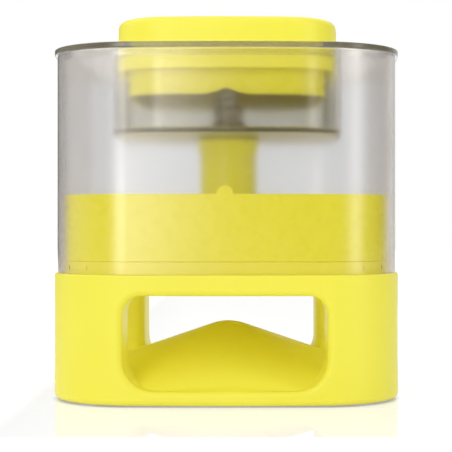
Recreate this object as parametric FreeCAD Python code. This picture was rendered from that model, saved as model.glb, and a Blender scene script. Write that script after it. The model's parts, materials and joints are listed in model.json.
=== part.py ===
import FreeCAD, Part
import math
import os

# Push-button treat dispenser: a clear tank on a base with four mouths.
# Millimetres. Origin on the floor under the middle, +Z up, front towards -Y, +X to the right.

V = FreeCAD.Vector
UP = V(0, 0, 1)

# Body plan: a square with bowed sides and round corners
body_width = 130.0
body_corner_radius = 31.0
body_side_radius = 420.0

# Base heights and walls
floor_gap = 0.4
base_height = 46.0
base_wall = 2.6
base_bottom_round = 2.0
base_top_round = 0.7

# Mouths and the cavity behind them
pillar_width = 28.9
pillar_round = 3.6
lip_height = 5.1
header_height = 7.4
mouth_top_round = 6.8
mouth_bottom_round = 11.0
mouth_edge_round = 2.0
skin = 2.2
deck_thickness = 2.6
deck_hole_radius = 34.0

# Cone that throws the treats outwards
cone_top = 26.3
cone_angle = 19.0
cone_tip_radius = 20.0

# Spigot that the tank slides over, and its snap beads
spigot_height = 4.5
spigot_wall = 2.2
spigot_gap = 0.25
bead_height = 1.2
bead_proud = 0.35
bead_span = 9.0
bead_play = 0.15

# Bottom cover and feet
cover_thickness = 2.0
cover_recess = 0.5
cover_gap = 0.25
cover_margin = 1.2
foot_radius = 6.0
foot_inset = 1.1
foot_margin = 1.15
foot_play = 0.1
foot_round = 0.4

# Screws
boss_radius = 3.5
boss_rib = 1.8
screw_radius = 1.45
screw_head_radius = 2.6
screw_head_height = 1.6
screw_play = 0.25
thread_gap = 0.03
screw_slot_width = 0.7
screw_slot_depth = 0.7
cover_screw_length = 10.0
hopper_screw_length = 9.0
hopper_boss_radius = 3.2
hopper_screw_margin = 0.84

# Tank
tank_height = 79.8
tank_inset = 1.0
tank_wall = 2.5
tank_rim_round = 0.4

# Hopper
hopper_height = 24.0
hopper_gap = 0.5
hopper_wall = 1.8
funnel_angle = 22.0
throat_radius = 25.0
throat_height = 52.0
neck_wall = 2.0
neck_bottom = 41.0
neck_flange_radius = 37.0
neck_flange = 1.8
tab_radius = 3.0
rib_thickness = 2.2
rib_bottom = 48.0
hub_height = 6.0
hub_spigot_height = 6.0

# Guide tube, bush and push rod
tube_radius = 11.0
tube_wall = 2.0
tube_flare = 1.3
tube_flare_height = 6.5
slip_gap = 0.1
run_gap = 0.05
air_gap = 0.3
touch_gap = 0.2
rod_radius = 3.0
bush_wall = 1.9
bush_flange_radius = 7.0
bush_flange = 1.0
rod_flange_radius = 8.5
rod_flange = 2.6

# Valve head under the throat
valve_overlap = 3.0
valve_seat_margin = 0.4
valve_rim_height = 3.2
valve_shell = 2.2
valve_rise = 6.6
valve_boss_radius = 5.5
valve_socket_depth = 5.6
valve_screw_length = 11.0

# Lid: plate, well and chimney
lid_plate = 2.1
lid_edge_round = 0.5
lid_rib_height = 2.2
lid_rib_wall = 1.4
lid_rib_gap = 0.4
well_width = 88.8
well_corner_radius = 22.0
well_side_radius = 240.0
well_wall = 1.7
well_depth = 28.4
well_floor = 1.6
well_bottom_round = 0.9
well_floor_round = 0.7
well_mouth_round = 0.7
chimney_radius = 6.0
chimney_bore = 4.9
chimney_height = 12.0
chimney_flare = 6.0
chimney_ring_radius = 14.8
chimney_ring_height = 0.6

# Guide posts that stand in the well, beside the button's skirt
post_width = 2.4
post_length = 6.4
post_height = 21.4
post_top_round = 0.8
post_gap = 0.4
post_play = 0.3

# Button
cap_gap = 0.5
cap_rise = 12.4
cap_height = 19.3
cap_wall = 2.0
cap_top_wall = 2.2
cap_top_round = 2.8
skirt_step = 4.0
skirt_height = 9.2
skirt_wall = 2.0
web_thickness = 2.0
flange_play = 0.2
notch_half_width = 8.5
notch_height = 2.3
cap_boss_radius = 3.2
cap_boss_reach = 23.0
button_screw_length = 8.0
press_travel = 8.0
stem_radius = 2.5
stem_head_radius = 6.0
stem_head = 2.0
stem_screw_length = 9.0
stem_washer_radius = 6.0
stem_washer = 1.0

# Springs
button_wire = 0.9
button_coil_radius = 4.1
button_turns = 8
rod_wire = 1.0
rod_coil_radius = 6.0
rod_turns = 11
end_pitch_gap = 0.5
seat_gap = 0.1

# Small roundings of edges
cap_foot_round = 0.3
chimney_ring_round = 0.3
tube_top_round = 0.5
spigot_top_round = 0.4
hopper_foot_round = 0.4
valve_edge_round = 0.6

# Allowances for cutting and joining bodies, and for finding edges
overrun = 1.0
long_overrun = 20.0
bite = 0.5
rim_band = 3.0
level_tolerance = 0.01

# Levels and sizes that follow from the values above
pilot_radius = screw_radius + thread_gap
body_half = body_width / 2
base_bottom = floor_gap
base_top = base_bottom + base_height
mouth_half = body_half - pillar_width
mouth_bottom = base_bottom + lip_height
mouth_top = base_top - header_height
deck_top = mouth_top + deck_thickness
spigot_top = base_top + spigot_height
spigot_inset = tank_inset + tank_wall + spigot_gap
hopper_inset = tank_inset + tank_wall + hopper_gap
hopper_top = spigot_top + hopper_height
cover_bottom = base_bottom + cover_recess
cover_top = cover_bottom + cover_thickness
tank_top = base_top + tank_height
lid_top = tank_top + lid_plate
well_bottom = lid_top - lid_plate - well_depth
well_floor_top = well_bottom + well_floor
cap_top = lid_top + cap_rise
cap_bottom = cap_top - cap_height
web_bottom = cap_bottom + touch_gap
web_top = web_bottom + web_thickness
stem_head_top = web_top + stem_head
skirt_bottom = cap_bottom - skirt_height
hub_top = rib_bottom + hub_height
hub_spigot_top = hub_top + hub_spigot_height
tube_top = well_bottom - air_gap
tube_bore = tube_radius - tube_wall
bush_radius = rod_radius + run_gap + bush_wall
washer_top = well_bottom - touch_gap
washer_bottom = washer_top - stem_washer
stem_screw_head_bottom = washer_bottom - screw_head_height
rod_top = stem_screw_head_bottom - touch_gap
rod_flange_bottom = rod_top - rod_flange
valve_radius = throat_radius + valve_overlap
valve_rim_top = neck_bottom - touch_gap
valve_bottom = valve_rim_top - valve_rim_height
valve_apex = valve_rim_top + valve_rise
rod_bottom = valve_apex - valve_socket_depth
valve_boss_bottom = valve_bottom + screw_head_height + touch_gap


class Plan:
    """A square with bowed sides and round corners, centred on the Z axis."""

    def __init__(self, width, corner_radius, side_radius):
        self.half = width / 2
        self.corner_radius = corner_radius
        self.side_radius = side_radius
        # The side arc's centre lies past the axis by beyond; the corner arc's centre is (corner, corner).
        self.beyond = side_radius - self.half
        self.span = side_radius - corner_radius
        root = math.sqrt(2 * self.span**2 - self.beyond**2)
        self.corner = (root - self.beyond) / 2

    def wire(self, inset, z):
        """The outline, moved inwards by inset, at height z."""
        side = self.side_radius - inset
        tangent_x = side * (self.corner + self.beyond) / self.span - self.beyond
        tangent_y = side * self.corner / self.span
        diagonal = self.corner + (self.corner_radius - inset) / math.sqrt(2)
        low = V(tangent_x, -tangent_y, z)
        middle = V(self.half - inset, 0, z)
        high = V(tangent_x, tangent_y, z)
        corner = V(diagonal, diagonal, z)
        after = V(tangent_y, tangent_x, z)
        edges = []
        for quarter in range(4):
            edges.append(turned(Part.Arc(low, middle, high).toShape(), quarter))
            edges.append(turned(Part.Arc(high, corner, after).toShape(), quarter))
        return Part.Wire(edges)

    def prism(self, inset, bottom, top):
        """A solid with this outline between two heights."""
        return Part.Face(self.wire(inset, bottom)).extrude(UP * (top - bottom))

    def ring(self, inset, wall, bottom, top):
        """A wall of even thickness that follows the outline."""
        inner = self.prism(inset + wall, bottom - overrun, top + overrun)
        return self.prism(inset, bottom, top).cut(inner)

    def corner_point(self, reach):
        """A point on the diagonal, at reach from the corner arc's centre."""
        along = self.corner + reach / math.sqrt(2)
        return (along, along)


def turned(shape, quarter):
    """A copy turned about the Z axis by a number of quarter turns."""
    copy = shape.copy()
    copy.rotate(V(0, 0, 0), UP, 90 * quarter)
    return copy


def at_quarters(shape):
    """Four copies, a quarter turn apart."""
    return [turned(shape, quarter) for quarter in range(4)]


def disc(radius, bottom, top, x=0.0, y=0.0):
    """An upright cylinder."""
    return Part.makeCylinder(radius, top - bottom, V(x, y, bottom))


def tube(outer, inner, bottom, top, x=0.0, y=0.0):
    """An upright tube."""
    return disc(outer, bottom, top, x, y).cut(disc(inner, bottom - overrun, top + overrun, x, y))


def turned_profile(points):
    """A solid of revolution about Z from (radius, height) corners."""
    corners = [V(radius, 0, height) for radius, height in points]
    return Part.Face(Part.makePolygon(corners + corners[:1])).revolve(V(0, 0, 0), UP, 360)


def edge_middle(edge):
    return edge.valueAt((edge.FirstParameter + edge.LastParameter) / 2)


def is_level(edge, height):
    box = edge.BoundBox
    return max(abs(box.ZMin - height), abs(box.ZMax - height)) < level_tolerance


def round_level(shape, height, radius, keep=lambda point: True):
    """Rounds the level edges at one height whose middle point passes the test."""
    edges = [edge for edge in shape.Edges if is_level(edge, height) and keep(edge_middle(edge))]
    return shape.makeFillet(radius, edges)


def far_out(limit):
    """A test for points whose larger plan coordinate is beyond a limit."""
    return lambda point: max(abs(point.x), abs(point.y)) > limit


def screw(x, y, head_bottom, length, countersunk=False):
    """A screw that points up, with its head below and a crossed slot in the head."""
    head_top = head_bottom + screw_head_height
    if countersunk:
        head = Part.makeCone(screw_head_radius, screw_radius, screw_head_height, V(x, y, head_bottom))
    else:
        head = disc(screw_head_radius, head_bottom, head_top, x, y)
    body = head.fuse(disc(screw_radius, head_bottom, head_top + length, x, y))
    slot_length = 2 * screw_radius + screw_slot_width
    for long_x, long_y in ((slot_length, screw_slot_width), (screw_slot_width, slot_length)):
        corner = V(x - long_x / 2, y - long_y / 2, head_bottom - overrun)
        body = body.cut(Part.makeBox(long_x, long_y, screw_slot_depth + overrun, corner))
    return body.removeSplitter()


def biarc(start, start_way, end, end_way):
    """Two arcs that share a tangent, from one point and direction to another."""
    chord = end - start
    ways = start_way + end_way
    turn = 2 * (1 - start_way.dot(end_way))
    along = chord.dot(ways)
    reach = (math.sqrt(along**2 + turn * chord.dot(chord)) - along) / turn
    first_apex = start + start_way * reach
    last_apex = end - end_way * reach
    joint = (first_apex + last_apex) * 0.5
    joint_way = (last_apex - first_apex).normalize()
    return [arc_by_apex(start, first_apex, joint, start_way, joint_way),
            arc_by_apex(joint, last_apex, end, joint_way, end_way)]


def arc_by_apex(start, apex, end, start_way, end_way):
    """An arc from its ends and the point where its end tangents cross."""
    weight = math.cos(start_way.getAngle(end_way) / 2)
    middle = (start + apex * (2 * weight) + end) * (0.5 / (1 + weight))
    return Part.Arc(start, middle, end).toShape()


def coil(radius, wire, turns, bottom, top, name):
    """A compression spring as one tube, close wound at both ends."""
    height = top - bottom - wire - 2 * seat_gap
    end_pitch = wire + end_pitch_gap
    swing = 2 * (height / turns - end_pitch)

    def point(angle):
        share = angle / (2 * math.pi * turns)
        wave = share / 2 - math.sin(2 * math.pi * share) / (4 * math.pi)
        level = turns * (end_pitch * share + swing * wave)
        return V(radius * math.cos(angle), radius * math.sin(angle), bottom + seat_gap + wire / 2 + level)

    def way(angle):
        step = 1e-4
        return (point(angle + step) - point(angle - step)).normalize()

    quarter = math.pi / 2
    edges = []
    for index in range(4 * turns):
        first = index * quarter
        edges += biarc(point(first), way(first), point(first + quarter), way(first + quarter))
    path = Part.Wire(edges)
    section = Part.Wire(Part.Circle(point(0), way(0), wire / 2).toShape())
    spring = path.makePipeShell([section], True, False)
    print(name, "least gap between turns", round(least_gap(point, wire, turns), 2),
          "volume ratio", round(spring.Volume / (math.pi * wire**2 / 4 * path.Length), 4))
    return spring


def least_gap(point, wire, turns):
    """The smallest gap of the coil to itself, from points along its line."""
    per_turn = 48
    line = [point(2 * math.pi * index / per_turn) for index in range(turns * per_turn + 1)]
    least = min((line[first] - line[second]).Length
                for first in range(len(line))
                for second in range(first + per_turn // 2, min(len(line), first + 2 * per_turn)))
    return least - wire


body = Plan(body_width, body_corner_radius, body_side_radius)
well = Plan(well_width, well_corner_radius, well_side_radius)
cap_inset = well_wall + cap_gap
skirt_inset = cap_inset + skirt_step
post_place = well.half - skirt_inset + post_gap + post_width / 2
post_top = well_floor_top + post_height
sink_radius = screw_head_radius + screw_play
cover_corner_radius = body_corner_radius - base_wall - cover_gap
cover_screw_reach = cover_corner_radius - cover_margin - sink_radius
cover_screw_point = body.corner_point(cover_screw_reach)
hopper_boss_reach = body_corner_radius - spigot_inset - spigot_wall - hopper_boss_radius - air_gap
hopper_screw_y = mouth_half + skin + screw_head_radius + hopper_screw_margin
hopper_screw_x = body.corner + math.sqrt(hopper_boss_reach**2 - (hopper_screw_y - body.corner) ** 2)
hopper_screw_point = (hopper_screw_x, hopper_screw_y)
foot_reach = cover_screw_reach - sink_radius - foot_margin - foot_radius - foot_play
foot_point = body.corner_point(foot_reach)


def cavity(grow):
    """The cross-shaped space behind the four mouths, grown outwards by a skin."""
    half = mouth_half + grow
    bend = pillar_round - grow
    reach = body_half + long_overrun
    low = mouth_bottom - grow
    high = mouth_top if grow == 0 else base_top + long_overrun
    near = half + bend
    knee = near - bend / math.sqrt(2)
    edges = []
    for quarter in range(4):
        edges.append(turned(Part.makeLine(V(reach, half, low), V(near, half, low)), quarter))
        bend_arc = Part.Arc(V(near, half, low), V(knee, knee, low), V(half, near, low))
        edges.append(turned(bend_arc.toShape(), quarter))
        edges.append(turned(Part.makeLine(V(half, near, low), V(half, reach, low)), quarter))
        edges.append(turned(Part.makeLine(V(half, reach, low), V(-half, reach, low)), quarter))
    cross = Part.Face(Part.Wire(edges)).extrude(UP * (high - low))

    def not_at_ends(point):
        return not far_out(reach - overrun)(point)

    cross = round_level(cross, low, mouth_bottom_round + grow, not_at_ends)
    if grow == 0:
        cross = round_level(cross, high, mouth_top_round, not_at_ends)
    return cross


def cone(drop, bottom):
    """The round-tipped cone of the floor, lowered by drop and cut off at a height."""
    slope = math.radians(cone_angle)
    top = cone_top - drop
    edge_radius = cone_tip_radius * math.sin(slope)
    edge_height = top - cone_tip_radius * (1 - math.cos(slope))
    half_slope = slope / 2
    tip_middle = V(cone_tip_radius * math.sin(half_slope), 0,
                   top - cone_tip_radius * (1 - math.cos(half_slope)))
    foot = edge_radius + (edge_height - bottom) / math.tan(slope)
    edges = [Part.Arc(V(0, 0, top), tip_middle, V(edge_radius, 0, edge_height)).toShape(),
             Part.makeLine(V(edge_radius, 0, edge_height), V(foot, 0, bottom)),
             Part.makeLine(V(foot, 0, bottom), V(0, 0, bottom)),
             Part.makeLine(V(0, 0, bottom), V(0, 0, top))]
    return Part.Face(Part.Wire(edges)).revolve(V(0, 0, 0), UP, 360)


def corner_beads(proud, play):
    """Short level ridges round the corners of the spigot, for the snap fit."""
    middle = base_top + spigot_height / 2
    half_height = bead_height / 2 + play
    band = body.ring(spigot_inset - proud, proud + bite, middle - half_height, middle + half_height)
    x, y = body.corner_point(body_corner_radius - spigot_inset)
    span = bead_span + 2 * play
    height = 2 * half_height + overrun
    block = Part.makeBox(span, 2 * span, height, V(-span / 2, -span, middle - height / 2))
    block.rotate(V(0, 0, 0), UP, -45)
    block.translate(V(x, y, 0))
    return [band.common(piece) for piece in at_quarters(block)]


def base_shell():
    """Outer wall, pillars, cone floor, deck and spigot as one moulding."""
    outer = body.prism(0, base_bottom, base_top)
    outer = round_level(outer, base_bottom, base_bottom_round)
    outer = round_level(outer, base_top, base_top_round)
    space = cavity(0)
    opened = outer.cut(space)
    rim = [edge for edge in opened.Edges
           if far_out(body_half - rim_band)(edge_middle(edge))
           and mouth_bottom - bite < edge_middle(edge).z < mouth_top + bite]
    opened = opened.makeFillet(mouth_edge_round, rim)
    floor_cone = cone(0, mouth_bottom - bite).common(body.prism(base_wall / 2, 0, base_top))
    shell = opened.fuse(floor_cone)

    inside = body.prism(base_wall, base_bottom - overrun, mouth_top)
    cone_drop = skin / math.cos(math.radians(cone_angle))
    hollow = inside.cut(cavity(skin)).fuse(inside.common(cone(cone_drop, base_bottom - overrun)))
    shell = shell.cut(hollow)

    recess = body.prism(spigot_inset + spigot_wall, deck_top, spigot_top + overrun)
    spigot = body.prism(spigot_inset, base_top - overrun, spigot_top)
    spigot = round_level(spigot, spigot_top, spigot_top_round)
    shell = shell.fuse([spigot] + corner_beads(bead_proud, 0)).cut(recess)
    shell = shell.cut(disc(deck_hole_radius, mouth_top - overrun, deck_top + overrun))

    boss = disc(boss_radius, cover_top, mouth_top + bite, *cover_screw_point)
    rib_length = body_corner_radius - base_wall / 2 - cover_screw_reach
    rib = Part.makeBox(rib_length, boss_rib, mouth_top - cover_top, V(0, -boss_rib / 2, cover_top))
    rib.rotate(V(0, 0, 0), UP, 45)
    rib.translate(V(*cover_screw_point, 0))
    shell = shell.fuse(at_quarters(boss) + at_quarters(rib))
    pilot = disc(pilot_radius, 0, cover_top + cover_screw_length + overrun, *cover_screw_point)
    hole = disc(screw_radius + screw_play, mouth_top - overrun, deck_top + overrun, *hopper_screw_point)
    return shell.cut(at_quarters(pilot) + at_quarters(hole)).removeSplitter()


def bottom_cover():
    """Plate that closes the base from below."""
    plate = body.prism(base_wall + cover_gap, cover_bottom, cover_top)
    sink = Part.makeCone(sink_radius, screw_radius + screw_play, screw_head_height,
                         V(*cover_screw_point, cover_bottom))
    hole = disc(screw_radius + screw_play, 0, cover_top + overrun, *cover_screw_point)
    seat = disc(foot_radius + foot_play, 0, cover_bottom + foot_inset, *foot_point)
    return plate.cut(at_quarters(sink) + at_quarters(hole) + at_quarters(seat))


def cover_screws():
    x, y = cover_screw_point
    return at_quarters(screw(x, y, cover_bottom, cover_screw_length, countersunk=True))


def feet():
    """Four round rubber feet in the cover's recesses."""
    foot = disc(foot_radius, 0, cover_bottom + foot_inset, *foot_point)
    foot = round_level(foot, 0, foot_round)
    names = ("foot_rear_right", "foot_rear_left", "foot_front_left", "foot_front_right")
    return dict(zip(names, at_quarters(foot)))


def tank():
    """Clear tube that holds the treats, with snap grooves near its foot."""
    wall = body.ring(tank_inset, tank_wall, base_top, tank_top)
    wall = round_level(wall, tank_top, tank_rim_round)
    return wall.cut(corner_beads(bead_proud + bead_play, bead_play))


def hopper():
    """Skirt, funnel, neck, ribs and hub, screwed to the deck."""
    slope = math.tan(math.radians(funnel_angle))
    drop = hopper_wall / math.cos(math.radians(funnel_angle))
    far = body_width
    neck_radius = throat_radius + neck_wall
    skirt_bore = hopper_inset + hopper_wall

    def funnel_height(radius):
        return throat_height + (radius - throat_radius) * slope

    above = turned_profile([(0, throat_height), (throat_radius, throat_height), (far, funnel_height(far)),
                            (far, funnel_height(far) + far), (0, funnel_height(far) + far)])
    below = turned_profile([(neck_radius, 0), (far, 0), (far, funnel_height(far) - drop),
                            (neck_radius, funnel_height(neck_radius) - drop)])
    block = body.prism(hopper_inset, spigot_top, hopper_top)
    block = round_level(block, spigot_top, hopper_foot_round)
    bore = body.prism(skirt_bore, spigot_top - overrun, hopper_top + overrun)
    shell = block.cut([above.common(bore), below.common(bore)])
    neck = disc(neck_radius, neck_bottom, throat_height + bite)
    neck_seat = disc(neck_flange_radius, deck_top, deck_top + neck_flange)
    boss_top = funnel_height(math.hypot(*hopper_screw_point)) - drop / 2
    boss = disc(hopper_boss_radius, deck_top, boss_top, *hopper_screw_point)
    shell = shell.fuse([neck, neck_seat] + at_quarters(boss))
    shell = shell.cut(disc(throat_radius, neck_bottom - overrun, throat_height + overrun))

    rib_length = (throat_radius + neck_wall / 2) - tube_radius / 2
    rib_corner = V(tube_radius / 2, -rib_thickness / 2, rib_bottom)
    rib = Part.makeBox(rib_length, rib_thickness, hub_height, rib_corner)
    rib.rotate(V(0, 0, 0), UP, 45)
    hub = disc(tube_radius, rib_bottom, hub_top)
    hub_spigot = disc(tube_bore - slip_gap, hub_top, hub_spigot_top)
    tab_front = -(body_half - hopper_inset)
    tab = Part.makeCylinder(tab_radius, hopper_wall, V(0, tab_front, hopper_top), V(0, 1, 0))
    shell = shell.fuse(at_quarters(rib) + [hub, hub_spigot, tab, turned(tab, 2)])
    pilot = disc(pilot_radius, 0, deck_top + hopper_screw_length, *hopper_screw_point)
    bush_hole = disc(bush_radius, rib_bottom - overrun, hub_spigot_top + overrun)
    return shell.cut(at_quarters(pilot) + [bush_hole])


def hopper_screws():
    x, y = hopper_screw_point
    head_bottom = mouth_top - screw_head_height
    return at_quarters(screw(x, y, head_bottom, hopper_screw_length))


def guide_tube():
    """Yellow post round the push rod, slipped over the hopper's hub, a little flared at its top."""
    post = turned_profile([(tube_bore, hub_top), (tube_radius, hub_top),
                           (tube_radius, tube_top - tube_flare_height),
                           (tube_radius + tube_flare, tube_top), (tube_bore, tube_top)])
    return round_level(post, tube_top, tube_top_round)


def rod_bush():
    """Plain bearing of the push rod, with a flange that carries the spring."""
    sleeve = disc(bush_radius, rib_bottom, hub_spigot_top)
    flange = disc(bush_flange_radius, hub_spigot_top, hub_spigot_top + bush_flange)
    bore = disc(rod_radius + run_gap, rib_bottom - overrun, hub_spigot_top + bush_flange + overrun)
    return sleeve.fuse(flange).cut(bore).removeSplitter()


def push_rod():
    """Rod that the button's stem pushes down."""
    rod = disc(rod_radius, rod_bottom, rod_flange_bottom)
    rod = rod.fuse(disc(rod_flange_radius, rod_flange_bottom, rod_top))
    pilot = disc(pilot_radius, rod_bottom - overrun, valve_boss_bottom + valve_screw_length + overrun)
    return rod.cut(pilot).removeSplitter()


def rod_spring():
    bottom = hub_spigot_top + bush_flange
    return coil(rod_coil_radius, rod_wire, rod_turns, bottom, rod_flange_bottom, "rod_spring")


def valve_head():
    """Dished disc that closes the throat from below."""
    rim_inner = throat_radius - valve_seat_margin
    boss = valve_boss_radius
    socket = rod_radius + run_gap
    slant = (valve_apex - valve_rim_top) / (rim_inner - boss)
    under_edge = valve_radius - valve_shell
    under_height = valve_rim_top - valve_shell
    under_boss = under_height + slant * (rim_inner - boss)
    dish = turned_profile([(socket, rod_bottom), (socket, valve_apex), (boss, valve_apex),
                           (rim_inner, valve_rim_top), (valve_radius, valve_rim_top),
                           (valve_radius, valve_bottom), (under_edge, valve_bottom),
                           (under_edge, under_height), (rim_inner, under_height),
                           (boss, under_boss), (boss, valve_boss_bottom),
                           (screw_radius + screw_play, valve_boss_bottom),
                           (screw_radius + screw_play, rod_bottom)])
    return round_level(dish, valve_bottom, valve_edge_round)


def valve_screw():
    return screw(0, 0, valve_boss_bottom - screw_head_height, valve_screw_length)


def chimney():
    """Flared guide for the stem that rises from the well's floor."""
    start = well_floor_top
    ring_top = start + chimney_ring_height
    top = start + chimney_height
    flare_edge = chimney_radius + chimney_flare
    bend = chimney_flare * (1 - 1 / math.sqrt(2))
    edge = chimney_ring_round
    points = [V(chimney_bore, 0, start - bite), V(chimney_ring_radius, 0, start - bite),
              V(chimney_ring_radius, 0, ring_top - edge), V(chimney_ring_radius - edge, 0, ring_top),
              V(flare_edge, 0, ring_top)]
    flare = Part.Arc(points[-1], V(chimney_radius + bend, 0, ring_top + bend),
                     V(chimney_radius, 0, ring_top + chimney_flare)).toShape()
    tip = [V(chimney_radius, 0, ring_top + chimney_flare), V(chimney_radius, 0, top),
           V(chimney_bore, 0, top), points[0]]
    profile = Part.Wire(Part.makePolygon(points).Edges + [flare] + Part.makePolygon(tip).Edges)
    return Part.Face(profile).revolve(V(0, 0, 0), UP, 360)


def guide_post(play, bottom, top):
    """An upright bar with round ends beside the skirt's right side, grown by a play."""
    width = post_width + 2 * play
    reach = post_length / 2 - post_width / 2
    ends = [disc(width / 2, bottom, top, post_place, side) for side in (-reach, reach)]
    middle = Part.makeBox(width, 2 * reach, top - bottom, V(post_place - width / 2, -reach, bottom))
    return middle.fuse(ends).removeSplitter()


def both_sides(shape):
    """The shape and its copy on the left."""
    return [shape, turned(shape, 2)]


def lid():
    """Clear plate with a deep well for the button and two guide posts in it."""
    plate = body.prism(0, tank_top, lid_top)
    plate = round_level(plate, lid_top, lid_edge_round)
    plate = round_level(plate, tank_top, lid_edge_round)
    rib_inset = tank_inset + tank_wall + lid_rib_gap
    rib = body.ring(rib_inset, lid_rib_wall, tank_top - lid_rib_height, tank_top + bite)
    cup = well.prism(0, well_bottom, tank_top + bite)
    cup = round_level(cup, well_bottom, well_bottom_round)
    room = well.prism(well_wall, well_floor_top, lid_top + overrun)
    room = round_level(room, well_floor_top, well_floor_round)
    shell = plate.fuse([rib, cup]).cut(room)

    def at_well(point):
        return not far_out(well.half + overrun)(point)

    post = guide_post(0, well_floor_top - bite, post_top)
    post = round_level(post, post_top, post_top_round)
    shell = round_level(shell, lid_top, well_mouth_round, at_well).fuse([chimney()] + both_sides(post))
    stem_hole = disc(stem_radius + run_gap, well_bottom - overrun, well_floor_top + overrun)
    return shell.cut(stem_hole).removeSplitter()


def button_cap():
    """Large push cap, open below, with bosses for its frame."""
    cap = well.prism(cap_inset, cap_bottom, cap_top)
    cap = round_level(cap, cap_top, cap_top_round)
    cap = round_level(cap, cap_bottom, cap_foot_round)
    room = well.prism(cap_inset + cap_wall, cap_bottom - overrun, cap_top - cap_top_wall)
    cap = cap.cut(room)
    boss = disc(cap_boss_radius, web_top, cap_top - cap_top_wall + bite, cap_boss_reach, cap_boss_reach)
    post = disc(stem_head_radius, stem_head_top, cap_top - cap_top_wall + bite)
    groove = guide_post(post_play, cap_bottom - overrun, post_top + press_travel + post_gap)
    pilot_top = web_top + button_screw_length
    pilot = disc(pilot_radius, web_top - overrun, pilot_top, cap_boss_reach, cap_boss_reach)
    cap = cap.cut(both_sides(groove)).fuse(at_quarters(boss) + [post])
    return cap.cut(at_quarters(pilot)).removeSplitter()


def notch():
    """Roof-shaped notch in the middle of one side of the skirt."""
    left = V(-notch_half_width, 0, skirt_bottom)
    right = V(notch_half_width, 0, skirt_bottom)
    peak = V(0, 0, skirt_bottom + notch_height)
    sag = V(0, 0, -notch_height / 8)
    low = [V(side, 0, skirt_bottom - overrun) for side in (notch_half_width, -notch_half_width)]
    edges = [Part.Arc(left, (left + peak) * 0.5 + sag, peak).toShape(),
             Part.Arc(peak, (peak + right) * 0.5 + sag, right).toShape()]
    edges += Part.makePolygon([right] + low + [left]).Edges
    outline = Part.Face(Part.Wire(edges))
    outline.translate(V(0, -well.half, 0))
    return outline.extrude(V(0, well.half / 2, 0))


def button_frame():
    """Skirt and web under the cap, which clamp the stem's head."""
    skirt = well.ring(skirt_inset, skirt_wall, skirt_bottom, web_top)
    web = well.prism(cap_inset + cap_wall + flange_play, web_bottom, web_top)
    groove = guide_post(post_play, web_bottom - overrun, web_top + overrun)
    frame = skirt.fuse(web).cut(at_quarters(notch()) + both_sides(groove))
    screw_bore = screw_radius + screw_play
    hole = disc(screw_bore, web_bottom - overrun, web_top + overrun, cap_boss_reach, cap_boss_reach)
    stem_hole = disc(stem_radius + run_gap, web_bottom - overrun, web_top + overrun)
    return frame.cut(at_quarters(hole) + [stem_hole]).removeSplitter()


def button_screws():
    head_bottom = web_bottom - screw_head_height
    return at_quarters(screw(cap_boss_reach, cap_boss_reach, head_bottom, button_screw_length))


def button_stem():
    """Stem that carries the push from the cap down through the well's floor."""
    shank = disc(stem_radius, washer_top, web_top)
    head = disc(stem_head_radius, web_top, stem_head_top)
    pilot = disc(pilot_radius, washer_top - overrun, washer_top + stem_screw_length)
    return shank.fuse(head).cut(pilot).removeSplitter()


def button_spring():
    return coil(button_coil_radius, button_wire, button_turns, well_floor_top, web_bottom, "button_spring")


def stem_washer_plate():
    return tube(stem_washer_radius, screw_radius + run_gap, washer_bottom, washer_top)


def stem_screw():
    return screw(0, 0, stem_screw_head_bottom, stem_screw_length)


nodes = {
    "base_shell": base_shell(),
    "bottom_cover": bottom_cover(),
    "cover_screws": cover_screws(),
    **feet(),
    "tank": tank(),
    "hopper": hopper(),
    "hopper_screws": hopper_screws(),
    "guide_tube": guide_tube(),
    "rod_bush": rod_bush(),
    "push_rod": push_rod(),
    "rod_spring": rod_spring(),
    "valve_head": valve_head(),
    "valve_screw": valve_screw(),
    "lid": lid(),
    "button_cap": button_cap(),
    "button_frame": button_frame(),
    "button_screws": button_screws(),
    "button_stem": button_stem(),
    "button_spring": button_spring(),
    "stem_washer": stem_washer_plate(),
    "stem_screw": stem_screw(),
}

os.makedirs("parts", exist_ok=True)
for name, shape in nodes.items():
    solids = shape if isinstance(shape, list) else shape.Solids
    group = Part.makeCompound(solids) if len(solids) > 1 else solids[0]
    group.exportStep("parts/" + name + ".step")
    box = group.BoundBox
    print(name, "solids", len(solids), "valid", group.isValid(), "volume", round(group.Volume),
          "box", [round(value, 2) for value in (box.XMin, box.YMin, box.ZMin, box.XMax, box.YMax, box.ZMax)])
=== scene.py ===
import bpy
import json
import math
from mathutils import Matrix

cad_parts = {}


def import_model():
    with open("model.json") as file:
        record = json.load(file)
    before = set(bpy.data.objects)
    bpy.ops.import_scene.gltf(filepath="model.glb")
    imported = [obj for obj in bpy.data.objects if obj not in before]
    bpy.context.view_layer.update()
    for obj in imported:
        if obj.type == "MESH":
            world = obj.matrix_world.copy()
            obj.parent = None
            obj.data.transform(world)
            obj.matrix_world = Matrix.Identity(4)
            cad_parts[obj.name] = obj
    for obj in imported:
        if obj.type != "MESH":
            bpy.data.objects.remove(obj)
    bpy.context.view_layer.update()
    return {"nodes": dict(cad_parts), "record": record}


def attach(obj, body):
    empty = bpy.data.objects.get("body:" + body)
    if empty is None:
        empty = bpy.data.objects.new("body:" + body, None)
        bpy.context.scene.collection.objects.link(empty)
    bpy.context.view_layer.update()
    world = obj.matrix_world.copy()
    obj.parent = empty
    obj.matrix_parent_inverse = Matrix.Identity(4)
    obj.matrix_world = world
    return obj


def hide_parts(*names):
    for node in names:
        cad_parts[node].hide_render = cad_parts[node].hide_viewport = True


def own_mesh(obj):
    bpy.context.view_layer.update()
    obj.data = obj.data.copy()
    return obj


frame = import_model()
nodes = frame["nodes"]

# Lengths are in metres and angles in degrees. Noise scales are in cells per metre.

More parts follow.
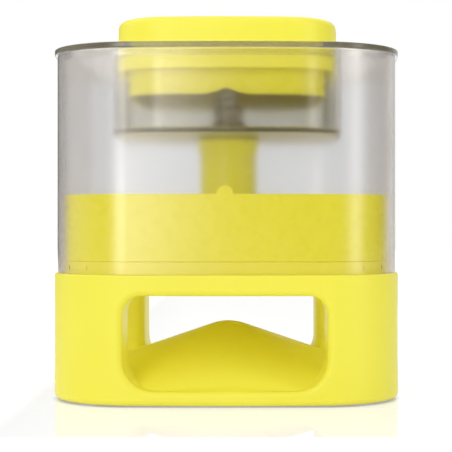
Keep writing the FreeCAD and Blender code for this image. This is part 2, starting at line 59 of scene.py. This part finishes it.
# The photo's camera: level, in front of the object and a little to its right
CAMERA_PLACE = (0.0113, -0.550, 0.0636)
LENS = 110.7
SENSOR = 36.0
SHIFT_X = -0.0686
CLIP_START = 0.01
CLIP_END = 200

# Soft boxes by azimuth and its spread, elevation and its spread, and strength. Azimuth 0 is in front, 90 right.
SOFT_BOXES = [
    (-21.0, 7.5, 6.0, 32.0, 4.1),
    (-8.0, 4.0, 6.0, 32.0, 0.4),
    (-95.0, 26.0, 6.0, 32.0, 0.65),
    (59.5, 8.0, 6.0, 32.0, 2.7),
]
LIGHT_COLOUR = (1.0, 0.995, 0.985, 1.0)

# The rest of the studio, by the way's height, its sideways part and its part to the rear
AMBIENT = 0.05
OVERHEAD = 0.80
OVERHEAD_START = 0.22
OVERHEAD_FULL = 0.75
OVERHEAD_TILT = -0.42
BACKDROP = 0.85
BACKDROP_START = 0.35
BACKDROP_FULL = 0.75
BACKDROP_LEFT = 0.1
BACKDROP_LEFT_END = -0.35
BACKDROP_RIGHT_START = -0.05

# What shows behind the clear walls
SEEN_THROUGH = (0.825, 0.90, 0.985, 1.0)
SEEN_THROUGH_START = 0.6
SEEN_THROUGH_FULL = 0.9

# Between a light path's 0 and 1, and the part of its range where a noise pattern mostly lies
HALF = 0.5
NOISE_LOW = 0.3
NOISE_HIGH = 0.7

# Yellow mouldings: the two colours between which each one drifts. The cap's pair is a lighter copy of the
# shell's for painted light, the cavity's yellow is painted light and the frame's shaded yellow is painted shade
SHELL_YELLOWS = (0.91, 0.84, 0.060, 1), (0.94, 0.875, 0.070, 1)
PAINTED_LIGHT_YELLOW = (0.985, 0.93, 0.10, 1)
PAINTED_LIGHT_CAP_YELLOWS = (0.96, 0.885, 0.064, 1), (0.98, 0.915, 0.074, 1)
INNER_YELLOWS = (0.90, 0.835, 0.040, 1), (0.93, 0.875, 0.048, 1)
FRAME_YELLOWS = (0.94, 0.87, 0.045, 1), (0.97, 0.91, 0.055, 1)
FRAME_SHADED_YELLOW = (0.43, 0.38, 0.055, 1)
TUBE_YELLOWS = (0.80, 0.755, 0.034, 1), (0.84, 0.80, 0.042, 1)
MOULDED_INDEX = 1.5
DRIFT_SCALE = 14
DRIFT_START = 0.35
DRIFT_FULL = 0.65
SPECK_SCALE = 5200
SPECK_START = 0.68
SPECK_FULL = 0.74
SPECK_STRENGTH = 0.05
SPECK_PALER = (1.05, 1.06, 2.4)
POLISH_SCALE = 230
POLISH_BELOW = 0.04
POLISH_ABOVE = 0.05
GRAIN_SCALE = 2600

# Where the painted shade on the button frame's down- and inward-facing sides begins, by how far they face down
# or inwards
DOWN_FULL = -0.9
DOWN_START = -0.5
INWARD_FULL = -0.012
INWARD_START = -0.002

# The base's plan: where its corners turn, and how far the cavity's painted lighter yellow reaches from there
PLAN_CORNER = 0.034
INSIDE_REACH = 0.0275
INSIDE_FADE = 0.003
INSIDE_TOP = 0.0393

# Clear plastic: what its tint takes from red, green and blue per metre, and light's mean way through a wall
CLEAR = (0.99, 0.99, 0.99, 1.0)
CLEAR_INDEX = 1.49
VOLUME_SCALE = 100.0
TANK_ABSORBED = (30.0, 45.0, 60.0)
LID_ABSORBED = (12.0, 13.0, 15.0)
LIGHT_WAY = 0.0036
TANK_HAZE = 0.15
LID_HAZE = 0.09
HAZE_CHANGE = 0.15
HAZE_SCALE = 60
RIPPLE_SCALE = 38
RIPPLE_HEIGHT = 0.00005

# The lid's own details, with painted shade on its rim, well, chimney and guide posts
LID_RIM_PAINTED_SHADE = (0.36, 0.33, 0.22, 1.0)
LID_RIM_CLEAR = 0.6
LID_RIM_START = 0.058
LID_PLATE_BOTTOM = 0.1261
UPRIGHT_FULL = 0.6
UPRIGHT_END = 0.9
WELL_FLOOR_MIDDLE = 0.0986
WELL_FOOT_ROUGHNESS = 0.35
LEVEL_START = 0.7
LEVEL_FULL = 0.95
WELL_PAINTED_SHADE = (0.83, 0.82, 0.76, 1.0)
WELL_PAINTED_SHADE_FULL = 0.112
WELL_PAINTED_SHADE_END = 0.120
CHIMNEY_REACH = 0.0075
CHIMNEY_BOTTOM = 0.0992
CHIMNEY_PAINTED_SHADE = (0.74, 0.70, 0.58, 1.0)
POST_NEAR = 0.0380
POST_FAR = 0.0415
POST_HALF = 0.0036
POST_BOTTOM = 0.0996
POST_PAINTED_SHADE = (0.55, 0.52, 0.42, 1.0)

# Floor, its shallow gloss in front of the object, and a painted shadow strip under the base's edge
FLOOR_HALF_WIDTH = 0.8
FLOOR_FRONT = -0.6
FLOOR_REAR = 3.0
FLOOR_ALBEDO = 0.95
FLOOR_GLOW = 0.96
FLOOR_SHADE = 0.18
FLOOR_UNEVEN = 0.02
FLOOR_GLOSS_INDEX = 1.15
FLOOR_GLOSS_ROUGHNESS = 0.03
GLOSS_NEAR = -0.1335
GLOSS_FULL = -0.1305
GLOSS_SIDE = 0.068
GLOSS_SIDE_END = 0.082
PAINTED_SHADOW_GLOW = 0.5
CONTACT_INNER = 0.0280
CONTACT_OUTER = 0.0306


class Nodes:
    """A node tree with short ways to add and join nodes."""

    def __init__(self, tree):
        self.tree = tree

    def add(self, kind, **inputs):
        """A node. Its inputs are sockets to join or values to set; underscores stand for spaces."""
        node = self.tree.nodes.new(kind)
        for name, value in inputs.items():
            self.give(node.inputs[name.replace("_", " ")], value)
        return node

    def give(self, socket, value):
        """Joins a socket to another, or sets its value."""
        if isinstance(value, bpy.types.NodeSocket):
            self.tree.links.new(value, socket)
        else:
            socket.default_value = value

    def math(self, operation, *values):
        node = self.add("ShaderNodeMath")
        node.operation = operation
        for socket, value in zip(node.inputs, values):
            self.give(socket, value)
        return node.outputs["Value"]

    def squares(self, first, second):
        """The sum of two values' squares."""
        return self.math("ADD", self.math("MULTIPLY", first, first), self.math("MULTIPLY", second, second))

    def split(self, vector):
        """A vector's x, y and z."""
        return self.add("ShaderNodeSeparateXYZ", Vector=vector).outputs

    def ramp(self, value, low, high, first, last):
        """Maps a value's range onto another, held at both ends."""
        node = self.add("ShaderNodeMapRange", Value=value)
        for name, number in (("From Min", low), ("From Max", high), ("To Min", first), ("To Max", last)):
            node.inputs[name].default_value = number
        return node.outputs["Result"]

    def mix(self, factor, first, second):
        """A colour between two."""
        node = self.add("ShaderNodeMix")
        node.data_type = "RGBA"
        chosen = [socket for socket in node.inputs if socket.type == "RGBA"]
        self.give(node.inputs["Factor"], factor)
        self.give(chosen[0], first)
        self.give(chosen[1], second)
        return next(socket for socket in node.outputs if socket.type == "RGBA")

    def mix_shader(self, factor, first, second):
        node = self.add("ShaderNodeMixShader")
        for socket, value in zip(node.inputs, (factor, first, second)):
            self.give(socket, value)
        return node.outputs["Shader"]


class Look(Nodes):
    """A material's node tree round its main shader."""

    def __init__(self, name):
        self.material = bpy.data.materials.new(name)
        self.material.use_nodes = True
        super().__init__(self.material.node_tree)
        self.shader = self.tree.nodes["Principled BSDF"]
        self.output = self.tree.nodes["Material Output"]
        self.place = self.add("ShaderNodeTexCoord").outputs["Object"]

    def set(self, **inputs):
        """Values or sockets for the main shader."""
        for name, value in inputs.items():
            self.give(self.shader.inputs[name.replace("_", " ")], value)

    def facing(self):
        """The x, y and z of the way that the surface faces."""
        return self.split(self.add("ShaderNodeNewGeometry").outputs["Normal"])

    def noise(self, scale, detail=2.0, roughness=0.5, stretch=(1, 1, 1)):
        """A noise pattern in the object's own coordinates, in cells per metre, from 0 to 1."""
        place = self.place
        if stretch != (1, 1, 1):
            place = self.add("ShaderNodeMapping", Vector=place, Scale=stretch).outputs["Vector"]
        node = self.add("ShaderNodeTexNoise", Vector=place, Scale=scale, Detail=detail, Roughness=roughness)
        return node.outputs["Fac"]

    def varied(self, noise, low, high):
        """A value that follows a noise pattern from a low end to a high end."""
        return self.ramp(noise, NOISE_LOW, NOISE_HIGH, low, high)

    def bump(self, height, distance):
        """Gives the surface a fine relief, in metres."""
        node = self.add("ShaderNodeBump", Height=height, Distance=distance, Strength=1.0)
        self.set(Normal=node.outputs["Normal"])


def moulded_yellow(name, colours, roughness, grain, painted_shade=None, painted_light=None):
    """Satin moulded plastic: slow colour drift, fine pigment specks and a spark-eroded grain; optionally
    painted shade on its down- and inward-facing sides and a painted lighter yellow in the base's cavity.
    """
    t = Look(name)
    deep, light = colours
    drift = t.ramp(t.noise(DRIFT_SCALE), DRIFT_START, DRIFT_FULL, 0.0, 1.0)
    colour = t.mix(drift, deep, light)
    speck = t.ramp(t.noise(SPECK_SCALE, detail=1), SPECK_START, SPECK_FULL, 0.0, SPECK_STRENGTH)
    pale = tuple(min(1.0, part * paler) for part, paler in zip(light, SPECK_PALER)) + (1.0,)
    colour = t.mix(speck, colour, pale)
    # Painted shade: a darker yellow on the sides that face down or inwards
    if painted_shade:
        colour = t.mix(painted_shade_side(t), colour, painted_shade)
    # Painted light: a lighter yellow in the cavity behind the base's mouths
    if painted_light:
        colour = t.mix(painted_light_cavity(t), colour, painted_light)
    polish = t.varied(t.noise(POLISH_SCALE, detail=4), roughness - POLISH_BELOW, roughness + POLISH_ABOVE)
    t.set(Base_Color=colour, Roughness=polish, IOR=MOULDED_INDEX)
    t.bump(t.noise(GRAIN_SCALE, detail=3, roughness=0.6), grain)
    return t.material


def painted_shade_side(t):
    """Where painted shade goes: 1 on the sides that face down or towards the middle axis and 0 on the sides
    that face out.
    """
    x, y, _ = t.split(t.place)
    facing = t.facing()
    outward = t.math("ADD", t.math("MULTIPLY", x, facing["X"]), t.math("MULTIPLY", y, facing["Y"]))
    down = t.ramp(facing["Z"], DOWN_FULL, DOWN_START, 1.0, 0.0)
    return t.math("MAXIMUM", down, t.ramp(outward, INWARD_FULL, INWARD_START, 1.0, 0.0))


def plan_reach(t):
    """How far a point lies outside the square between the centres of the plan's round corners."""
    x, y, _ = t.split(t.place)
    side = t.math("MAXIMUM", t.math("SUBTRACT", t.math("ABSOLUTE", x), PLAN_CORNER), 0.0)
    front = t.math("MAXIMUM", t.math("SUBTRACT", t.math("ABSOLUTE", y), PLAN_CORNER), 0.0)
    return t.math("SQRT", t.squares(side, front))


def axis_reach(t):
    """How far a point lies from the middle axis."""
    x, y, _ = t.split(t.place)
    return t.math("SQRT", t.squares(x, y))


def painted_light_cavity(t):
    """Where painted light goes: 1 in the cavity behind the base's mouths and 0 on its outer faces."""
    inner = t.ramp(plan_reach(t), INSIDE_REACH - INSIDE_FADE, INSIDE_REACH, 1.0, 0.0)
    return t.math("MULTIPLY", inner, t.math("LESS_THAN", t.split(t.place)["Z"], INSIDE_TOP))


def within(t, value, low, high):
    """1 where a value lies between two limits and 0 elsewhere."""
    return t.math("MULTIPLY", t.math("GREATER_THAN", value, low), t.math("LESS_THAN", value, high))


def lid_chimney(t):
    """1 on the lid's chimney and 0 elsewhere."""
    high = t.math("GREATER_THAN", t.split(t.place)["Z"], CHIMNEY_BOTTOM)
    return t.math("MULTIPLY", t.math("LESS_THAN", axis_reach(t), CHIMNEY_REACH), high)


def lid_posts(t):
    """1 on the lid's two guide posts and 0 elsewhere."""
    x, y, z = t.split(t.place)
    across = within(t, t.math("ABSOLUTE", x), POST_NEAR, POST_FAR)
    post = t.math("MULTIPLY", across, within(t, y, -POST_HALF, POST_HALF))
    return t.math("MULTIPLY", post, within(t, z, POST_BOTTOM, LID_PLATE_BOTTOM))


def lid_rim(t):
    """1 on the outer edge of the lid's plate, which gets a painted shade, and 0 elsewhere."""
    upright = t.ramp(t.math("ABSOLUTE", t.facing()["Z"]), UPRIGHT_FULL, UPRIGHT_END, 1.0, 0.0)
    out = t.math("MULTIPLY", t.math("GREATER_THAN", axis_reach(t), LID_RIM_START), upright)
    return t.math("MULTIPLY", out, t.math("GREATER_THAN", t.split(t.place)["Z"], LID_PLATE_BOTTOM))


def well_foot(t):
    """1 on the matt underside of the well's floor and 0 elsewhere."""
    low = t.math("LESS_THAN", t.split(t.place)["Z"], WELL_FLOOR_MIDDLE)
    level = t.ramp(t.math("ABSOLUTE", t.facing()["Z"]), LEVEL_START, LEVEL_FULL, 0.0, 1.0)
    return t.math("MULTIPLY", low, level)


def lid_clear_and_painted_shade(t, rim):
    """The lid's colour: clear above, a painted shade in its well, and a darker painted shade on chimney, posts
    and rim.
    """
    low = t.ramp(t.split(t.place)["Z"], WELL_PAINTED_SHADE_FULL, WELL_PAINTED_SHADE_END, 1.0, 0.0)
    tint = t.mix(low, CLEAR, WELL_PAINTED_SHADE)
    tint = t.mix(lid_chimney(t), tint, CHIMNEY_PAINTED_SHADE)
    tint = t.mix(lid_posts(t), tint, POST_PAINTED_SHADE)
    return t.mix(rim, tint, LID_RIM_PAINTED_SHADE)


def clear_smoke(name, absorbed, haze, is_lid=False):
    """Clear plastic with a smoke tint that deepens with its thickness, and a light moulding haze."""
    t = Look(name)
    t.set(Base_Color=CLEAR, IOR=CLEAR_INDEX, Transmission_Weight=1.0)
    roughness = t.varied(t.noise(HAZE_SCALE, detail=3), haze * (1 - HAZE_CHANGE), haze * (1 + HAZE_CHANGE))
    # The lid gets painted shade on its rim, well, chimney and guide posts
    if is_lid:
        rim = lid_rim(t)
        t.set(Base_Color=lid_clear_and_painted_shade(t, rim), Transmission_Weight=t.ramp(rim, 0.0, 1.0, 1.0, LID_RIM_CLEAR))
        roughness = t.math("MULTIPLY_ADD", well_foot(t), WELL_FOOT_ROUGHNESS - haze, roughness)
    t.set(Roughness=roughness)
    t.bump(t.noise(RIPPLE_SCALE), RIPPLE_HEIGHT)
    kept = tuple(1 - part / VOLUME_SCALE for part in absorbed) + (1.0,)
    absorb = t.add("ShaderNodeVolumeAbsorption", Color=kept, Density=VOLUME_SCALE)
    t.give(t.output.inputs["Volume"], absorb.outputs["Volume"])
    t.give(t.output.inputs["Surface"], lit_through(t, absorbed))
    return t.material


def lit_through(t, absorbed):
    """The main shader where it is seen, and an open way for light, which gets back what the tint takes."""
    given_back = tuple(math.exp(part * LIGHT_WAY / 2) for part in absorbed) + (1.0,)
    open_way = t.add("ShaderNodeBsdfTransparent", Color=given_back).outputs[0]
    path = t.add("ShaderNodeLightPath").outputs
    surface = t.mix_shader(path["Is Diffuse Ray"], t.shader.outputs[0], open_way)
    return t.mix_shader(path["Is Shadow Ray"], surface, open_way)


def white_plastic(name):
    """Turned slippery plastic with faint lathe rings."""
    t = Look(name)
    rings = t.noise(scale=90, stretch=(0.05, 0.05, 60))
    t.set(Base_Color=t.mix(t.noise(scale=40), (0.86, 0.855, 0.82, 1.0), (0.91, 0.905, 0.88, 1.0)))
    t.set(Roughness=t.varied(rings, low=0.28, high=0.42), Subsurface_Weight=0.15, Subsurface_Scale=0.002)
    t.bump(rings, distance=0.00002)
    return t.material


def foot_rubber(name):
    """Dull grey rubber with a fine moulded grain."""
    t = Look(name)
    patches = t.noise(scale=300, detail=3)
    t.set(Base_Color=t.mix(patches, (0.055, 0.055, 0.058, 1.0), (0.10, 0.10, 0.105, 1.0)))
    t.set(Roughness=t.varied(t.noise(scale=900), low=0.72, high=0.9))
    t.bump(t.noise(scale=2400), distance=0.00003)
    return t.material


def plated_steel(name):
    """Bright plated steel with fine turning lines and dull patches."""
    t = Look(name)
    lines = t.noise(scale=700, stretch=(1, 1, 9))
    t.set(Base_Color=t.mix(t.noise(scale=250, detail=3), (0.62, 0.63, 0.65, 1.0), (0.78, 0.79, 0.80, 1.0)))
    t.set(Metallic=1.0, Roughness=t.varied(lines, low=0.2, high=0.42))
    t.bump(lines, distance=0.000012)
    return t.material


def spring_wire(name):
    """Dark drawn wire with fine streaks."""
    t = Look(name)
    streaks = t.noise(scale=1500, stretch=(1, 1, 5))
    t.set(Base_Color=t.mix(streaks, (0.22, 0.20, 0.165, 1.0), (0.36, 0.335, 0.29, 1.0)))
    t.set(Metallic=1.0, Roughness=t.varied(t.noise(scale=900), low=0.25, high=0.45))
    t.bump(streaks, distance=0.00001)
    return t.material


def looks_of_slots():
    """The material of each of the record's slots."""
    return {
        "yellow_shell": moulded_yellow("yellow_shell_look", SHELL_YELLOWS, roughness=0.42, grain=0.000012,
                                       painted_light=PAINTED_LIGHT_YELLOW),
        "yellow_inner": moulded_yellow("yellow_inner_look", INNER_YELLOWS, roughness=0.28, grain=0.00001),
        "smoke_clear": clear_smoke("tank_clear_look", TANK_ABSORBED, TANK_HAZE),
        "white_plastic": white_plastic("white_plastic_look"),
        "foot_rubber": foot_rubber("foot_rubber_look"),
        "steel": plated_steel("steel_look"),
        "spring_steel": spring_wire("spring_steel_look"),
    }


def looks_of_nodes():
    """The materials of the pieces that differ from the rest of their slot."""
    return {
        "lid": clear_smoke("lid_clear_look", LID_ABSORBED, LID_HAZE, is_lid=True),
        # The cap's lighter yellows are painted light
        "button_cap": moulded_yellow("button_cap_look", PAINTED_LIGHT_CAP_YELLOWS, roughness=0.42, grain=0.000012),
        "button_frame": moulded_yellow("button_frame_look", FRAME_YELLOWS, roughness=0.28, grain=0.00001,
                                       painted_shade=FRAME_SHADED_YELLOW),
        "guide_tube": moulded_yellow("guide_tube_look", TUBE_YELLOWS, roughness=0.32, grain=0.00001),
    }


def paint():
    """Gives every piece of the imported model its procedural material."""
    looks = looks_of_slots()
    special = looks_of_nodes()
    slot_of = {entry["node"]: entry["material_slot"] for entry in frame["record"]["subparts"]}
    for name, obj in nodes.items():
        look = special.get(name, looks[slot_of[name]])
        for place in obj.material_slots:
            place.material = look


def springs():
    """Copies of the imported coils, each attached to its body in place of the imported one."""
    for node, body, joint in (("button_spring", "lid", "button_press"), ("rod_spring", "base", "valve_drop")):
        coil = bpy.data.objects.new(node + "_coil", nodes[node].data.copy())
        bpy.context.scene.collection.objects.link(coil)
        for place, packed in zip(coil.material_slots, nodes[node].material_slots):
            place.material = packed.material
        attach(coil, body)
        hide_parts(node)
        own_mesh(coil)


def not_for_light(n):
    """1 for a ray from the camera, straight, mirrored or through glass, and 0 for light on the object."""
    path = n.add("ShaderNodeLightPath").outputs
    seen = n.math("MAXIMUM", path["Is Camera Ray"], path["Is Glossy Ray"])
    seen = n.math("MAXIMUM", seen, path["Is Transmission Ray"])
    return n.math("MULTIPLY", seen, n.math("LESS_THAN", path["Diffuse Depth"], HALF))


def soft_box(n, azimuth, elevation, box):
    """The light of one soft box, brightest in its middle."""
    centre, spread, middle, height, strength = box
    across = n.math("SUBTRACT", azimuth, math.radians(centre))
    across = n.math("DIVIDE", across, math.radians(spread))
    along = n.math("SUBTRACT", elevation, math.radians(middle))
    along = n.math("DIVIDE", along, math.radians(height))
    bell = n.math("EXPONENT", n.math("MULTIPLY", n.squares(across, along), -0.5))
    return n.math("MULTIPLY", bell, strength)


def studio_light(n, x, y, z):
    """How much light the studio sends from a direction."""
    azimuth = n.math("ARCTAN2", x, n.math("MULTIPLY", y, -1.0))
    elevation = n.math("ARCSINE", z)
    behind = n.ramp(y, BACKDROP_START, BACKDROP_FULL, 0.0, BACKDROP)
    share = n.ramp(x, BACKDROP_LEFT_END, BACKDROP_RIGHT_START, BACKDROP_LEFT, 1.0)
    light = n.math("MULTIPLY_ADD", behind, share, AMBIENT)
    tilt = n.math("MULTIPLY_ADD", x, OVERHEAD_TILT, 1.0)
    above = n.ramp(z, OVERHEAD_START, OVERHEAD_FULL, 0.0, OVERHEAD)
    light = n.math("ADD", light, n.math("MULTIPLY", above, tilt))
    for box in SOFT_BOXES:
        light = n.math("ADD", light, soft_box(n, azimuth, elevation, box))
    return light


def world():
    """White where it is seen straight, pale through glass, and soft boxes that light the object."""
    made = bpy.data.worlds.new("studio")
    made.use_nodes = True
    bpy.context.scene.world = made
    made.node_tree.nodes.clear()
    n = Nodes(made.node_tree)
    x, y, z = n.split(n.add("ShaderNodeTexCoord").outputs["Generated"])
    light = studio_light(n, x, y, z)
    studio = n.add("ShaderNodeBackground", Color=LIGHT_COLOUR, Strength=light).outputs[0]
    through = n.add("ShaderNodeBackground", Color=SEEN_THROUGH, Strength=1.0).outputs[0]
    straight = n.add("ShaderNodeBackground", Color=(1, 1, 1, 1), Strength=1.0).outputs[0]
    path = n.add("ShaderNodeLightPath").outputs
    clear = n.math("MULTIPLY", path["Is Transmission Ray"], n.math("LESS_THAN", path["Diffuse Depth"], HALF))
    clear = n.math("MULTIPLY", clear, n.ramp(y, SEEN_THROUGH_START, SEEN_THROUGH_FULL, 0.0, 1.0))
    shown = n.mix_shader(clear, studio, through)
    shown = n.mix_shader(path["Is Camera Ray"], shown, straight)
    n.give(n.add("ShaderNodeOutputWorld").inputs["Surface"], shown)


def floor_look():
    """A pale matt floor that glows evenly where it is seen, with a shallow gloss in front of the object and a
    painted shadow where it glows less under the base.
    """
    t = Look("floor_look")
    t.tree.nodes.remove(t.shader)
    dim, bright = ((FLOOR_SHADE * (1 + change),) * 3 + (1,) for change in (-FLOOR_UNEVEN, FLOOR_UNEVEN))
    shaded = t.add("ShaderNodeBsdfDiffuse", Color=t.mix(t.noise(scale=3, detail=3), dim, bright)).outputs[0]
    # Painted shadow: the floor glows less under the base's edge
    glow_with_painted_shadow = t.ramp(plan_reach(t), CONTACT_INNER, CONTACT_OUTER, PAINTED_SHADOW_GLOW, FLOOR_GLOW)
    glow = t.add("ShaderNodeEmission", Color=(1, 1, 1, 1), Strength=glow_with_painted_shadow).outputs[0]
    white = t.add("ShaderNodeAddShader")
    t.give(white.inputs[0], shaded)
    t.give(white.inputs[1], glow)
    gloss = t.add("ShaderNodeBsdfGlossy", Color=(1, 1, 1, 1), Roughness=FLOOR_GLOSS_ROUGHNESS).outputs[0]
    fresnel = t.add("ShaderNodeFresnel", IOR=FLOOR_GLOSS_INDEX).outputs[0]
    x, y, _ = t.split(t.place)
    near = t.ramp(y, GLOSS_NEAR, GLOSS_FULL, 0.0, 1.0)
    near = t.math("MULTIPLY", near, t.ramp(t.math("ABSOLUTE", x), GLOSS_SIDE, GLOSS_SIDE_END, 1.0, 0.0))
    shown = t.mix_shader(t.math("MULTIPLY", fresnel, near), white.outputs[0], gloss)
    pale = t.add("ShaderNodeBsdfDiffuse", Color=(FLOOR_ALBEDO,) * 3 + (1,)).outputs[0]
    t.give(t.output.inputs["Surface"], t.mix_shader(not_for_light(t), pale, shown))
    return t.material


def floor():
    """The floor that the object stands on."""
    side, front, rear = FLOOR_HALF_WIDTH, FLOOR_FRONT, FLOOR_REAR
    mesh = bpy.data.meshes.new("floor")
    corners = [(-side, front, 0), (side, front, 0), (side, rear, 0), (-side, rear, 0)]
    mesh.from_pydata(corners, [], [(0, 1, 2, 3)])
    mesh.materials.append(floor_look())
    obj = bpy.data.objects.new("floor", mesh)
    bpy.context.scene.collection.objects.link(obj)


def camera():
    """The photo's level camera."""
    data = bpy.data.cameras.new("camera")
    data.lens = LENS
    data.sensor_width = SENSOR
    data.shift_x = SHIFT_X
    data.clip_start = CLIP_START
    data.clip_end = CLIP_END
    obj = bpy.data.objects.new("camera", data)
    obj.location = CAMERA_PLACE
    obj.rotation_euler = (math.pi / 2, 0, 0)
    bpy.context.scene.collection.objects.link(obj)
    bpy.context.scene.camera = obj


def render_settings():
    """Plain colours, and enough bounces for light that crosses many clear walls."""
    scene = bpy.context.scene
    scene.view_settings.view_transform = "Standard"
    scene.cycles.use_denoising = True
    scene.cycles.max_bounces = 24
    scene.cycles.transmission_bounces = 20
    scene.cycles.transparent_max_bounces = 24
    scene.cycles.glossy_bounces = 6
    scene.cycles.diffuse_bounces = 6


paint()
springs()
world()
floor()
camera()
render_settings()
